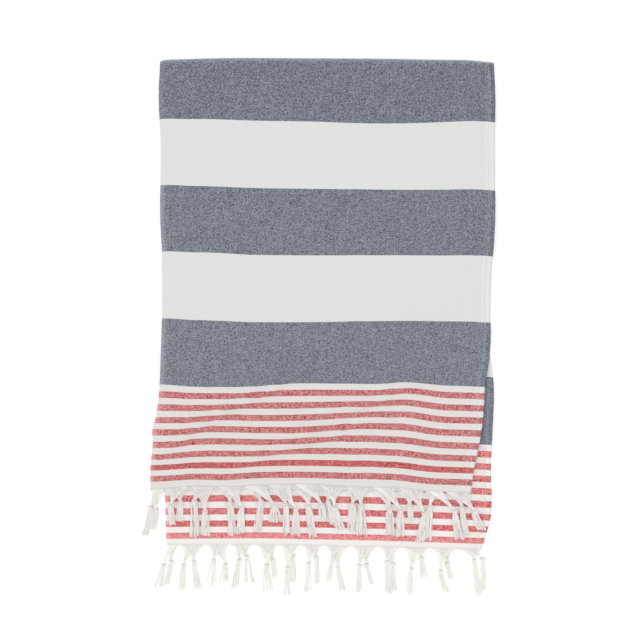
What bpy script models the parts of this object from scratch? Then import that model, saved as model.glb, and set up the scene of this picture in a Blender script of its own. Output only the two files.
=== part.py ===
"""Flat-woven cotton beach towel, folded in half lengthwise and then crosswise.

The towel lies flat on a surface.  Its long fold is at the left (-X), its
hemmed sides at the right (+X), the crosswise fold at the top (+Y), and both
knotted ends at the bottom (-Y), the upper half ending above the lower one.
Four layers lie on each other.  From the surface up they are called

    back outer, back inner, front inner, front outer

and "outer" is the layer that wraps round the other at the crosswise fold.
Units are metres, +Z is up, and the origin is at the middle of the towel's
outline, on the surface.
"""

import math

import bmesh
import bpy
import numpy as np

MM = 0.001

# Driving sizes of the cloth and of its folds.
CLOTH_THICK = 1.2 * MM
HEM_THICK = 1.7 * MM            # the side hems are turned under once
HEM_WIDTH = 10.0 * MM
HEM_LIFT = (HEM_THICK - CLOTH_THICK) / 2
LAYER_PITCH = 2.2 * MM          # between the two layers of one half
HALF_GAP = 2.6 * MM             # between the two halves
FOLD_RADIUS = 1.6 * MM          # the long fold stays a little open
FOLD_SWELL = 28.0 * MM          # how far from the long fold it swells
TOP_SWELL = 1.4 * MM            # extra height of the crosswise fold
TOP_SWELL_REACH = 30.0 * MM
FRONT_LENGTH = 640.0 * MM
BACK_LENGTH = 728.0 * MM
SAG_REACH = 20.0 * MM           # the front's overhang comes down within this
FLOOR_GAP = 0.4 * MM

# Driving sizes of the fringes.
PIECE_GAP = 0.6 * MM
HEADING_WIDTH = 3.0 * MM
TASSELS = 13                    # on each layer of each end
KNOT_THICK = 4.6 * MM
REST_GAP = 0.6 * MM             # between a tassel and what lies below it
KNOT_CLEAR = 9.5 * MM           # a fan passes over a lower knot this near to it,
CLEAR_SLOPE = 4.0 * MM          # and comes down within this
TAIL_THICK = 2.0 * MM
TAIL_WIDTH = 2.0 * MM
TIP_PLACE = 0.62                # of each tip, to its own side, as a share of the flare
TIP_HALF_WIDTH = 0.22           # as a share of the flare

# Outline of each half, by the distance from its own woven end.
EDGE_COLUMNS = ("from_end", "left", "right")
FRONT_EDGES = (
    (0, -251.0, 228.5),
    (30, -251.0, 232.5),
    (75, -248.0, 241.5),
    (93, -249.0, 244.5),
    (108, -244.0, 246.5),
    (130, -241.0, 248.0),
    (175, -238.0, 251.5),
    (191, -237.5, 255.0),
    (218, -236.5, 257.5),
    (290, -234.5, 258.0),
    (345, -234.0, 260.5),
    (365, -235.0, 262.5),
    (400, -237.0, 264.5),
    (520, -236.5, 264.0),
    (600, -239.5, 265.0),
    (640, -237.5, 263.0),
)
BACK_EDGES = (
    (0, -226.5, 244.5),
    (18, -227.0, 250.0),
    (34, -227.5, 255.0),
    (52, -228.0, 259.0),
    (75, -228.5, 260.0),
    (120, -230.0, 259.0),
    (180, -231.0, 261.5),
    (250, -232.0, 263.0),
    (290, -232.5, 258.5),
    (310, -233.0, 255.5),
    (440, -235.0, 256.0),
    (536, -236.0, 262.5),
    (728, -237.5, 263.0),
)

# The towel's top edge, by the place across.
TOP_COLUMNS = ("across", "top")
TOP_EDGE = (
    (-251.0, 396.5),
    (-232.0, 400.5),
    (-193.0, 403.0),
    (0.0, 404.5),
    (90.0, 403.0),
    (175.0, 401.5),
    (235.0, 400.0),
    (264.0, 396.5),
)

# The woven ends, by the share of the folded width from the right hem.  The
# front's outer layer ends higher still, by what its ripples take up.
END_COLUMNS = ("share", "front_outer", "front_inner", "back")
WOVEN_ENDS = (
    (0.0, -247.0, -247.0, -334.5),
    (4 / 13, -245.5, -245.5, -330.0),
    (9 / 13, -245.5, -243.5, -326.5),
    (1.0, -243.5, -245.0, -327.0),
)

# Soft ripples of the front outer layer, each a ridge along its own points.
RIPPLE_COLUMNS = ("across", "up", "height")
RIPPLE_HALF_WIDTH = 12.5 * MM
RIPPLES = {
    "long": (
        (-256, -207, 1.0),
        (-193, -156, 7.0),
        (-140, -121, 8.0),
        (-85, -99, 7.5),
        (-28, -64, 6.5),
        (52, -39, 4.0),
        (130, -37, 0.0),
    ),
    "middle": (
        (-52, -146, 0.0),
        (-25, -137, 2.5),
        (11, -123, 4.0),
        (47, -121, 4.5),
        (101, -102, 6.0),
        (128, -85, 6.0),
        (152, -83, 5.0),
        (210, -92, 0.0),
    ),
    "lower": (
        (-150, -214, 0.0),
        (-97, -195, 6.0),
        (-58, -179, 8.0),
        (-25, -172, 8.5),
        (29, -155, 7.5),
        (56, -140, 6.5),
        (101, -133, 4.5),
        (137, -117, 3.5),
        (175, -106, 0.0),
    ),
    "corner": (
        (-256, -226, 1.5),
        (-185, -211, 4.0),
        (-125, -204, 0.0),
    ),
    "upper": (
        (82, 3, 0.0),
        (122, 2, 3.0),
        (172, -1, 3.0),
        (205, -13, 0.0),
    ),
}

# One row for each tassel, left to right, in mm: how far its knot lies sideways
# from its root and below the woven end, how far its tails then drift, how far
# their tips reach below the woven end, and half the spread of the tips.
TASSEL_COLUMNS = ("knot", "drop", "drift", "reach", "flare")
FRONT_UNDER = (
    (-20, 26, -8, 69, 3.5),
    (-12, 19, -1, 46, 4.0),
    (-28, 17, 1, 69, 5.0),
    (-11, 20, 3, 67, 3.5),
    (-2, 18, -5, 61, 5.0),
    (-1, 22, 1, 66, 3.5),
    (-4, 24, 7, 70, 5.0),
    (-11, 17, 7, 51, 3.5),
    (-12, 21, 0, 60, 4.5),
    (7, 27, 2, 67, 4.0),
    (0, 21, 2, 46, 2.5),
    (-6, 23, -3, 72, 4.5),
    (5, 24, 6, 67, 4.0),
)
FRONT_OVER = (
    (-12, 32, -5, 62, 3.0),
    (-26, 29, 1, 59, 2.5),
    (-12, 39, 0, 74, 5.5),
    (6, 32, -1, 70, 4.5),
    (19, 31, 1, 56, 8.0),
    (14, 38, 0, 76, 5.0),
    (16, 32, 2, 55, 4.5),
    (-2, 32, 10, 65, 5.0),
    (1, 29, 1, 72, 7.0),
    (23, 35, 0, 74, 5.5),
    (22, 37, -6, 80, 5.0),
    (31, 30, 7, 71, 4.5),
    (24, 30, 11, 58, 5.5),
)
BACK_OVER = (
    (-25, 31, -8, 64, 4.5),
    (-31, 31, -2, 67, 3.5),
    (-22, 23, -4, 62, 6.0),
    (-20, 23, -7, 66, 4.5),
    (-15, 31, 4, 70, 8.0),
    (-20, 33, 0, 76, 3.0),
    (-24, 27, -2, 69, 5.5),
    (-24, 16, -6, 54, 4.0),
    (-20, 28, -1, 68, 4.0),
    (-15, 21, 4, 70, 4.0),
    (-15, 31, -2, 70, 4.5),
    (-7, 34, 10, 65, 3.5),
    (8, 16, 6, 69, 3.5),
)
BACK_UNDER = (
    (-13, 25, -8, 60, 3.0),
    (-15, 25, 6, 67, 5.0),
    (-4, 30, -2, 56, 6.0),
    (-8, 18, 4, 59, 7.0),
    (-5, 22, 3, 48, 3.0),
    (-11, 17, 1, 56, 3.0),
    (-12, 18, 0, 58, 2.5),
    (-16, 31, 8, 68, 3.5),
    (-9, 27, 8, 56, 3.0),
    (-6, 24, 3, 66, 2.5),
    (1, 15, 3, 46, 4.5),
    (4, 22, 7, 46, 3.5),
    (20, 14, 1, 62, 3.5),
)

# A tassel from its root to where its tails part: each section lies at a share
# of the way from the root to the knot, and then past the knot in mm.  Those
# that are "resting" lie on what is below them.
SECTION_COLUMNS = ("share", "past", "half_width", "thick", "resting")
TASSEL_SECTIONS = (
    (0.20, 0.0, 12.5, 1.2, False),
    (0.40, 0.0, 8.0, 1.3, False),
    (0.58, 0.0, 4.2, 1.5, False),
    (0.73, 0.0, 2.3, 1.7, False),
    (1.00, -2.3, 3.3, 4.6, True),
    (1.00, 2.3, 3.3, 4.6, True),
    (1.00, 5.0, 2.2, 2.0, True),
)
GATHERED_BY = 0.6               # share of the way where a fan has one level
TAIL_SECTIONS = (0.5, 1.0)      # shares of a tail's length

# How finely the cloth is divided: runs of (from, to, steps), across by the
# share of the folded width from the right hem, and along in mm from an end.
HEM_SHARE = 0.0205
HEM_STITCH_SHARE = 0.0215       # where the cloth is single again
OUTER_STEPS = ((HEM_STITCH_SHARE, 0.22, 6), (0.22, 1.0, 23))
SWELL_SHARES = (0.975, 0.94)    # the inner layer's extra lines beside its fold
FOLD_STEPS = 5
FRONT_STEPS = ((0, 28, 4), (28, 236, 29), (236, 640, 7))
TURN_STEPS = 5
BACK_STEPS = ((728, 440, 3), (440, 310, 1), (310, 250, 3), (250, 60, 3), (60, 0, 3))
WALK_STEP = 1.0 * MM


def smooth(share):
    """An S-shaped ramp from 0 to 1."""
    share = min(1.0, max(0.0, share))
    return share * share * (3.0 - 2.0 * share)


def blend(start, end, share):
    return start + (end - start) * share


def read(table, column, columns, at):
    """Value of a named column of a table in mm, at a place along its first."""
    rows = np.array(table, dtype=float)
    return float(np.interp(at / MM, rows[:, 0], rows[:, columns.index(column)])) * MM


def woven_end(layer, share):
    """Where a layer of the cloth ends, at a share of the folded width."""
    return read(WOVEN_ENDS, layer, END_COLUMNS, share * MM)


# ---- Where the folded cloth lies --------------------------------------------


def ripple(x, y):
    """Height of the ripples above the flat cloth."""
    total = 0.0
    for ridge in RIPPLES.values():
        if not ridge[0][0] * MM <= x <= ridge[-1][0] * MM:
            continue
        line = read(ridge, "up", RIPPLE_COLUMNS, x)
        rise = read(ridge, "up", RIPPLE_COLUMNS, x + WALK_STEP) - line
        away = abs(y - line) * math.cos(math.atan2(rise, WALK_STEP))
        if away < RIPPLE_HALF_WIDTH:
            height = read(ridge, "height", RIPPLE_COLUMNS, x)
            wave = math.cos(0.5 * math.pi * away / RIPPLE_HALF_WIDTH)
            total += height * wave * wave
    return total


def half_pitch(x, fold_x):
    """Half the distance between the layers of one half, swelling at its fold."""
    near = 1.0 - smooth((x - fold_x) / FOLD_SWELL)
    return blend(LAYER_PITCH / 2, FOLD_RADIUS, near)


def back_edge(side, y):
    """The lower half's left or right edge, level with y."""
    return read(BACK_EDGES, side, EDGE_COLUMNS, max(0.0, y - woven_end("back", 1.0)))


def back_top(x, y):
    """Middle of the lower half's upper layer, raised over its side hem."""
    pitch = 2 * half_pitch(x, back_edge("left", y))
    into_hem = x - back_edge("right", y) + 1.5 * HEM_WIDTH
    return CLOTH_THICK / 2 + pitch + HEM_LIFT * smooth(into_hem / HEM_WIDTH)


def front_under(x, y):
    """Middle of the upper half's lower layer, sagging where it overhangs."""
    stacked = back_top(x, y) + HALF_GAP
    sunk = CLOTH_THICK / 2 + FLOOR_GAP
    overhang = back_edge("left", y) - 2 * MM - x
    return blend(stacked, sunk, smooth(overhang / SAG_REACH))


def rippled_rows(x, end):
    """Walk down the front outer layer: distances from its end, and places."""
    top = turn_centre(x)[0]
    count = int(round((top - end) / WALK_STEP))
    step = (top - end) / count
    places = [top]
    for _ in range(count):
        y = places[-1]
        slope = (ripple(x, y + step / 2) - ripple(x, y - step / 2)) / step
        places.append(y - step / math.hypot(1.0, slope))
    from_end = np.linspace(FRONT_LENGTH, 0.0, count + 1)
    return from_end[::-1], np.array(places)[::-1]


def turn_centre(x):
    """Centre and middle radius of the crosswise fold, as (y, z, radius)."""
    top = read(TOP_EDGE, "top", TOP_COLUMNS, x)
    fold_x = read(FRONT_EDGES, "left", EDGE_COLUMNS, FRONT_LENGTH)
    half = half_pitch(x, fold_x)
    low = CLOTH_THICK / 2 + half
    high = front_under(x, top) + half + TOP_SWELL
    radius = (high - low) / 2
    return top - radius - half - CLOTH_THICK / 2, (high + low) / 2, radius


class Column:
    """One lengthwise line of the cloth, at a share of the folded width.

    "swing" is +1 on the outer layer, -1 on the inner one, and passes through
    0 round the long fold, where "turn" is the angle round it.
    """

    def __init__(self, share, swing, turn=None, in_hem=False):
        self.share = share
        self.swing = swing
        self.turn = turn
        self.in_hem = in_hem
        self.lift = HEM_LIFT if in_hem else 0.0
        self.rows = {}

    def across(self, edges, from_end):
        """Place across, and that of the long fold, at a distance from the end."""
        left = read(edges, "left", EDGE_COLUMNS, from_end)
        right = read(edges, "right", EDGE_COLUMNS, from_end)
        if self.turn is not None:
            return left + FOLD_RADIUS * (1.0 - math.sin(self.turn)), left
        return blend(right, left + FOLD_RADIUS, self.share), left

    def walk(self, x):
        """The rippled rows at x, worked out once for each place."""
        place = round(x / MM)
        if place not in self.rows:
            end = woven_end("front_outer", self.share)
            self.rows[place] = rippled_rows(place * MM, end)
        return self.rows[place]

    def front_point(self, from_end):
        """A point of the upper half, at a distance from its woven end."""
        x, left = self.across(FRONT_EDGES, max(0.0, from_end))
        distances, places = self.walk(x)
        flat_end = woven_end("front_inner", self.share)
        flat_y = blend(flat_end, places[-1], from_end / FRONT_LENGTH)
        laid_y = float(np.interp(from_end, distances, places)) + min(0.0, from_end)
        outer = (1.0 + self.swing) / 2
        y = blend(flat_y, laid_y, outer)
        half = half_pitch(x, left)
        middle = front_under(x, y) + half
        middle += TOP_SWELL * smooth((y - places[-1]) / TOP_SWELL_REACH + 1.0)
        z = middle + self.swing * half + ripple(x, y) * outer + self.lift
        return x, y, z

    def turn_point(self, angle):
        """A point of the crosswise fold, by the angle round it."""
        x, left = self.across(FRONT_EDGES, FRONT_LENGTH)
        y, z, radius = turn_centre(x)
        radius += self.swing * half_pitch(x, left)
        return x, y + radius * math.sin(angle), z + radius * math.cos(angle) + self.lift

    def back_point(self, from_end):
        """A point of the lower half, at a distance from its woven end."""
        x, left = self.across(BACK_EDGES, max(0.0, from_end))
        end = woven_end("back", self.share)
        y = blend(end, turn_centre(x)[0], from_end / BACK_LENGTH)
        half = half_pitch(x, left)
        z = CLOTH_THICK / 2 + half - self.swing * half + self.lift
        return x, y, z


def stations(runs):
    """Places from runs of (from, to, steps)."""
    places = [runs[0][0]]
    for start, end, steps in runs:
        places += list(np.linspace(start, end, steps + 1)[1:])
    return places


def fold_columns():
    """The lines round the long fold, between its two layers."""
    turns = [math.pi * step / FOLD_STEPS for step in range(1, FOLD_STEPS)]
    return [Column(1.0, math.cos(turn), turn=turn) for turn in turns]


def cloth_columns():
    """Lines of the cloth from the outer layer's hem round to the inner's."""
    bends = [row[0] for row in WOVEN_ENDS[1:-1]]
    inner = [1.0, *SWELL_SHARES, *reversed(bends), HEM_STITCH_SHARE]
    columns = [Column(share, 1.0, in_hem=True) for share in (0.0, HEM_SHARE)]
    columns += [Column(share, 1.0) for share in stations(OUTER_STEPS)]
    columns += fold_columns()
    columns += [Column(share, -1.0) for share in inner]
    columns += [Column(share, -1.0, in_hem=True) for share in (HEM_SHARE, 0.0)]
    return columns


def cloth_line(column):
    """All points of one lengthwise line, from the front end to the back end."""
    points = [column.front_point(place * MM) for place in stations(FRONT_STEPS)]
    for step in range(1, TURN_STEPS):
        points.append(column.turn_point(math.pi * step / TURN_STEPS))
    points += [column.back_point(place * MM) for place in stations(BACK_STEPS)]
    return points


# ---- Building ---------------------------------------------------------------


def material(name, colour, roughness):
    """A plain cotton finish."""
    made = bpy.data.materials.new(name)
    made.use_nodes = True
    shader = made.node_tree.nodes["Principled BSDF"]
    shader.inputs["Base Color"].default_value = (*colour, 1.0)
    shader.inputs["Roughness"].default_value = roughness
    shader.inputs["Metallic"].default_value = 0.0
    return made


def sheet_object(name, mesh_data, weights, thickness, finish, collection):
    """An open surface given its thickness, which each point's weight scales."""
    mesh = bpy.data.meshes.new(name)
    mesh_data.to_mesh(mesh)
    mesh_data.free()
    mesh.materials.append(finish)
    mesh.shade_smooth()
    made = bpy.data.objects.new(name, mesh)
    collection.objects.link(made)
    group = made.vertex_groups.new(name="thickness")
    for index, weight in enumerate(weights):
        group.add([index], weight, "REPLACE")
    shell = made.modifiers.new("thickness", "SOLIDIFY")
    shell.thickness = thickness
    shell.offset = 0.0
    shell.vertex_group = group.name
    return made


def build_cloth(finish, collection):
    """The towel's one piece of cloth, with its side hems."""
    columns = cloth_columns()
    lines = [cloth_line(column) for column in columns]
    grid = bmesh.new()
    bmesh.ops.create_grid(
        grid, x_segments=len(columns) - 1, y_segments=len(lines[0]) - 1, size=1.0
    )
    weights = []
    for index, vert in enumerate(grid.verts):
        column = index % len(columns)
        vert.co = lines[column][index // len(columns)]
        weights.append(1.0 if columns[column].in_hem else CLOTH_THICK / HEM_THICK)
    return sheet_object("towel_cloth", grid, weights, HEM_THICK, finish, collection)


def on_the_floor(x, y):
    """What lies under the lower half's tassels."""
    return 0.0


def on_the_back(x, y):
    """What lies under the upper half's tassels: the lower half, or the floor."""
    if x < back_edge("left", y) - 2 * MM:
        return 0.0
    return back_top(x, y) + CLOTH_THICK / 2 + REST_GAP


class Fringe:
    """One end's fringe: a narrow heading and the tassels grown from it.

    "layers" are the names of the cloth's lower and upper layer at this end,
    each with its tassels.
    """

    def __init__(self, point_at, layers, rest):
        self.point_at = point_at
        self.layers = layers
        self.rest = rest
        self.sheet = bmesh.new()
        self.weights = []
        self.knots = []

    def add_point(self, place, thick):
        self.weights.append(thick / KNOT_THICK)
        return self.sheet.verts.new(place)

    def add_strip(self, first, second):
        """Faces between two rows of points."""
        for index in range(len(first) - 1):
            self.sheet.faces.new(
                (first[index], second[index], second[index + 1], first[index + 1])
            )

    def over_knots(self, x, y):
        """How high a fan passes over the knots that already lie below it."""
        level = 0.0
        for knot in self.knots:
            away = math.hypot(x - knot[0], y - knot[1])
            top = self.rest(*knot) + KNOT_THICK + REST_GAP
            level = max(level, top * (1.0 - smooth((away - KNOT_CLEAR) / CLEAR_SLOPE)))
        return level

    def add_row(self, centre, half_width, thick, levels):
        """Points across a tassel at their levels, or resting where that is None."""
        row = []
        for side, level in zip(np.linspace(-1.0, 1.0, len(levels)), levels):
            x = centre[0] + side * half_width
            z = self.rest(x, centre[1]) + thick / 2
            if level is not None:
                z = max(z, level, self.over_knots(x, centre[1]) + thick / 2)
            row.append(self.add_point((x, centre[1], z), thick))
        return row

    def heading(self):
        """The strip along the folded end; returns its free edge."""
        shares = np.linspace(0.0, 1.0, 2 * TASSELS + 1)
        columns = [Column(share, 1.0) for share in shares]
        columns += fold_columns()
        columns += [Column(share, -1.0) for share in shares[::-1]]
        rows = []
        for from_end in (-PIECE_GAP, -PIECE_GAP - HEADING_WIDTH):
            points = [self.point_at(column, from_end) for column in columns]
            rows.append([self.add_point(point, CLOTH_THICK) for point in points])
        self.add_strip(*rows)
        return rows[1]

    def tassel(self, root, faces_up, sizes):
        """Fan, knot and two tails, from three points of the heading's edge."""
        start = root[1].co
        drop = sizes["drop"] - HEADING_WIDTH - PIECE_GAP
        last = root
        for section in TASSEL_SECTIONS:
            values = dict(zip(SECTION_COLUMNS, section))
            centre = (
                blend(start.x, start.x + sizes["knot"], values["share"]),
                start.y - drop * values["share"] - values["past"] * MM,
            )
            gathered = smooth(values["share"] / GATHERED_BY)
            levels = [blend(vert.co.z, start.z, gathered) for vert in root]
            if values["resting"]:
                levels = [None] * len(root)
            half_width = values["half_width"] * MM
            row = self.add_row(centre, half_width, values["thick"] * MM, levels)
            self.go_on(last, row, faces_up)
            last = row
        length = sizes["reach"] - HEADING_WIDTH - PIECE_GAP - (start.y - centre[1])
        for side, tail_root in ((-1.0, last[:2]), (1.0, last[1:])):
            travel = (sizes["drift"], -length)
            self.tail(tail_root, faces_up, centre, travel, side, sizes["flare"])
        self.knots.append((start.x + sizes["knot"], start.y - drop))

    def tail(self, root, faces_up, centre, travel, side, flare):
        """One loose tail, from the knot's end to its tip."""
        for share in TAIL_SECTIONS:
            spread = blend(TAIL_WIDTH / 2, TIP_PLACE * flare, share)
            place = (
                centre[0] + side * spread + travel[0] * share,
                centre[1] + travel[1] * share,
            )
            half_width = blend(TAIL_WIDTH / 2, TIP_HALF_WIDTH * flare, share)
            row = self.add_row(place, half_width, TAIL_THICK, [None] * len(root))
            self.go_on(root, row, faces_up)
            root = row

    def go_on(self, first, second, faces_up):
        """Faces that go on from the heading, facing the same way as it."""
        if faces_up:
            self.add_strip(first[::-1], second[::-1])
        else:
            self.add_strip(first, second)

    def grow(self):
        """All of the fringe, its lower layer first, from left to right."""
        edge = self.heading()
        count = 2 * TASSELS + 1
        edges = {"outer": edge[:count][::-1], "inner": edge[-count:]}
        for layer, tassels in self.layers:
            for number, values in enumerate(tassels):
                root = edges[layer][2 * number:2 * number + 3]
                sizes = {n: value * MM for n, value in zip(TASSEL_COLUMNS, values)}
                self.tassel(root, layer == "outer", sizes)


def build_fringe(name, fringe, finish, collection):
    """A fringe as one solid."""
    fringe.grow()
    return sheet_object(
        name, fringe.sheet, fringe.weights, KNOT_THICK, finish, collection
    )


def clear_scene():
    """Start from nothing."""
    for thing in list(bpy.data.objects):
        bpy.data.objects.remove(thing)


def main():
    clear_scene()
    towel = bpy.data.collections.new("beach_towel")
    bpy.context.scene.collection.children.link(towel)
    woven = material("woven cotton, striped", (0.52, 0.54, 0.60), 0.9)
    knotted = material("cotton warp ends, knotted", (0.82, 0.82, 0.79), 0.95)
    build_cloth(woven, towel)
    front_layers = (("inner", FRONT_UNDER), ("outer", FRONT_OVER))
    back_layers = (("outer", BACK_UNDER), ("inner", BACK_OVER))
    front = Fringe(Column.front_point, front_layers, on_the_back)
    back = Fringe(Column.back_point, back_layers, on_the_floor)
    build_fringe("fringe_front", front, knotted, towel)
    build_fringe("fringe_back", back, knotted, towel)


main()
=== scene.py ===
import math

import bmesh
import bpy
import numpy as np
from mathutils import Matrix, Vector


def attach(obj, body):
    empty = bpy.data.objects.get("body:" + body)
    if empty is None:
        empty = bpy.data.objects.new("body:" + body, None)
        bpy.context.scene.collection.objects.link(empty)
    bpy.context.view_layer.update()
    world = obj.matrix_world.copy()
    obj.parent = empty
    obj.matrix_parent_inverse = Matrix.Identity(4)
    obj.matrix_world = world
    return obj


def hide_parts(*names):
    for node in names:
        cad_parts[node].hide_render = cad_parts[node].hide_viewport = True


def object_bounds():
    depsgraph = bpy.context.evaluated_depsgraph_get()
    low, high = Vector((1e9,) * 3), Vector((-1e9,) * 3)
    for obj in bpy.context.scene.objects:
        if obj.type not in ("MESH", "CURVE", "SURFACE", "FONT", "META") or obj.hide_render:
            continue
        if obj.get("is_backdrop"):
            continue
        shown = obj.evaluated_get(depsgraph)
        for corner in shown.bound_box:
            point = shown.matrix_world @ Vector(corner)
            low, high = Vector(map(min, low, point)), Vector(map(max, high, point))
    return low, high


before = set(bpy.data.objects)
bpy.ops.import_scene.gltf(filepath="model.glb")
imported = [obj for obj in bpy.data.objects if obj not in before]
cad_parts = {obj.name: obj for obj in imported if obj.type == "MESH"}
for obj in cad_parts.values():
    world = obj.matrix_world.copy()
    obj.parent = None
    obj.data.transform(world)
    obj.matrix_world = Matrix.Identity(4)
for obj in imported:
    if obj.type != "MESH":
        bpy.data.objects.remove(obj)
cad_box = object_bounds()

# ---- Cloth --------------------------------------------------------------------
# One length of flat-woven cotton, striped in the weft over a white warp.  It is
# folded in half side to side (fold at -X), then end to end (fold at +Y), so four
# layers lie on each other.  A hem is turned under once along both long sides.

MM = 0.001
CLOTH_THICK = 1.2 * MM
HEM_THICK = 1.7 * MM
HEM_LIFT = (HEM_THICK - CLOTH_THICK) / 2
HEM_WIDTH = 10.0 * MM
LAYER_PITCH = 2.2 * MM          # between the two layers of one half
HALF_GAP = 2.6 * MM             # between the two halves
FOLD_RADIUS = 1.6 * MM          # the long fold stays a little open
FOLD_SWELL = 28.0 * MM
TOP_SWELL = 1.4 * MM            # extra height of the crosswise fold
TOP_SWELL_REACH = 30.0 * MM
FRONT_LENGTH = 640.0 * MM       # from each woven end to the crosswise fold
BACK_LENGTH = 728.0 * MM
SAG_REACH = 20.0 * MM           # the upper half's overhang comes down within this
FLOOR_GAP = 0.4 * MM

# Both halves' outlines in mm, by the distance from their own woven end.
EDGE_COLUMNS = ("from_end", "left", "right")
FRONT_EDGES = (
    (0, -252.5, 228.5),
    (30, -252.5, 232.5),
    (75, -249.0, 241.5),
    (93, -249.5, 244.5),
    (108, -244.5, 246.5),
    (130, -241.0, 248.0),
    (175, -237.5, 251.5),
    (191, -237.0, 255.0),
    (218, -236.0, 257.5),
    (290, -234.5, 258.0),
    (345, -234.0, 260.5),
    (365, -235.0, 262.5),
    (400, -237.0, 264.5),
    (520, -236.5, 264.0),
    (600, -239.5, 265.0),
    (640, -237.5, 263.0),
)
BACK_EDGES = (
    (0, -228.5, 244.5),
    (18, -229.0, 250.0),
    (34, -229.5, 255.0),
    (52, -230.0, 259.0),
    (75, -230.5, 260.0),
    (120, -231.5, 259.0),
    (180, -232.0, 261.5),
    (250, -232.0, 263.0),
    (290, -232.5, 258.5),
    (310, -233.0, 255.5),
    (440, -235.0, 256.0),
    (536, -236.0, 262.5),
    (728, -237.5, 263.0),
)
TOP_COLUMNS = ("across", "top")
TOP_EDGE = (
    (-251.0, 396.5),
    (-232.0, 400.5),
    (-193.0, 402.5),
    (0.0, 403.5),
    (90.0, 403.0),
    (175.0, 401.5),
    (235.0, 400.0),
    (264.0, 396.5),
)
# Where the layers end, by the share of the folded width from the right hem.
END_COLUMNS = ("share", "front_outer", "front_inner", "back")
WOVEN_ENDS = (
    (0.0, -247.0, -247.0, -334.5),
    (4 / 13, -245.5, -245.5, -330.0),
    (9 / 13, -245.5, -243.5, -326.5),
    (1.0, -243.5, -245.0, -327.0),
)
# Ridges where the upper half's top layer was pushed together, each along its
# own points in mm, with its height there.
RIPPLE_COLUMNS = ("across", "up", "height")
RIPPLE_HALF_WIDTH = 12.5 * MM
RIPPLES = {
    "long": (
        (-256, -207, 1.0),
        (-193, -156, 7.0),
        (-140, -121, 8.0),
        (-85, -99, 7.5),
        (-28, -64, 6.5),
        (52, -39, 4.0),
        (130, -37, 0.0),
    ),
    "middle": (
        (-52, -146, 0.0),
        (-25, -137, 2.5),
        (11, -123, 4.0),
        (47, -121, 4.5),
        (101, -102, 6.0),
        (128, -85, 6.0),
        (152, -83, 5.0),
        (210, -92, 0.0),
    ),
    "lower": (
        (-150, -214, 0.0),
        (-97, -195, 6.0),
        (-58, -179, 8.0),
        (-25, -172, 8.5),
        (29, -155, 7.5),
        (56, -140, 6.5),
        (101, -133, 4.5),
        (137, -117, 3.5),
        (175, -106, 0.0),
    ),
    "corner": (
        (-256, -226, 1.5),
        (-185, -211, 4.0),
        (-125, -204, 0.0),
    ),
    "upper": (
        (82, 3, 0.0),
        (122, 2, 3.0),
        (172, -1, 3.0),
        (205, -13, 0.0),
    ),
}

# How far each band's weft bows towards the woven end, in mm: the cloth was pulled
# a little out of square when it was laid down.
BOW_COLUMNS = (
    "across", "red_8", "red_6", "red_3", "navy_1_start", "navy_1_end",
    "navy_2_start", "navy_2_end", "navy_3_start",
)
BOW_ALONG = (15.0, 52.0, 108.0, 160.0, 256.0, 356.0, 454.5, 557.0)
WEFT_BOW = (
    (-235.0, -1.5, 3.5, 3.0, 0.0, -3.5, -4.0, -5.5, -2.0),
    (-165.0, 0.5, 2.5, 3.0, 5.5, 1.0, -0.5, -1.5, 0.5),
    (-100.0, -1.0, 2.0, 3.5, 3.5, 3.0, 2.5, 1.0, 3.0),
    (-10.0, 0.5, 2.0, 1.0, 1.5, 3.0, 3.0, 2.0, 4.0),
    (75.0, -2.0, -1.5, -3.5, 0.0, 1.0, 2.5, 2.5, 6.5),
    (120.0, -1.0, 0.0, -3.0, -1.5, 0.5, 2.0, 2.5, 6.0),
    (190.0, -0.5, 1.0, -0.5, 0.0, -0.5, 1.0, 1.0, 2.5),
    (250.0, 1.0, 2.0, -0.5, 0.5, -1.0, -0.5, -1.0, -1.0),
)
BOW_REACH = 100.0 * MM          # it is gone this far round the long fold
# The lower half is stretched a little along: how far each place of it lies from
# where its bands would be, in mm, by the distance from its woven end.
STRETCH_COLUMNS = ("from_end", "shift")
BACK_STRETCH = ((0, 0.0), (40, -1.5), (90, 0.0), (160, 0.0), (262, 6.0), (640, 0.0))

# Cells of the mesh: runs of (from, to, steps), across by the share of the folded
# width, and along in mm from a woven end.
HEM_SHARE = 0.0205
HEM_STITCH_SHARE = 0.0215       # where the cloth is single again
OUTER_STEPS = ((HEM_STITCH_SHARE, 1.0, 122),)
FOLD_STEPS = 9
INNER_STEPS = ((1.0, 0.93, 6), (0.93, HEM_STITCH_SHARE, 24))
FRONT_STEPS = ((0, 28, 8), (28, 250, 70), (250, 600, 44), (600, 640, 10))
TURN_STEPS = 12
BACK_STEPS = ((728, 690, 8), (690, 440, 12), (440, 240, 28), (240, 60, 20), (60, 0, 12))
WALK_STEPS = 645                # of about 1 mm, down the rippled layer


def smooth(share):
    """An S-shaped ramp from 0 to 1."""
    share = np.clip(share, 0.0, 1.0)
    return share * share * (3.0 - 2.0 * share)


def blend(start, end, share):
    return start + (end - start) * share


def curve(table, column, columns, at):
    """A soft line through a named column of a table in mm, read at places in metres."""
    rows = np.array(table, dtype=float)
    places, values = rows[:, 0], rows[:, columns.index(column)]
    slopes = np.gradient(values, places)
    at = np.clip(np.asarray(at) / MM, places[0], places[-1])
    left = np.clip(np.searchsorted(places, at, side="right") - 1, 0, len(places) - 2)
    step = places[left + 1] - places[left]
    t = (at - places[left]) / step
    past = values[left] * (1 + 2 * t) * (1 - t) ** 2 + slopes[left] * step * t * (1 - t) ** 2
    ahead = values[left + 1] * t * t * (3 - 2 * t) + slopes[left + 1] * step * t * t * (t - 1)
    return (past + ahead) * MM


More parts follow.
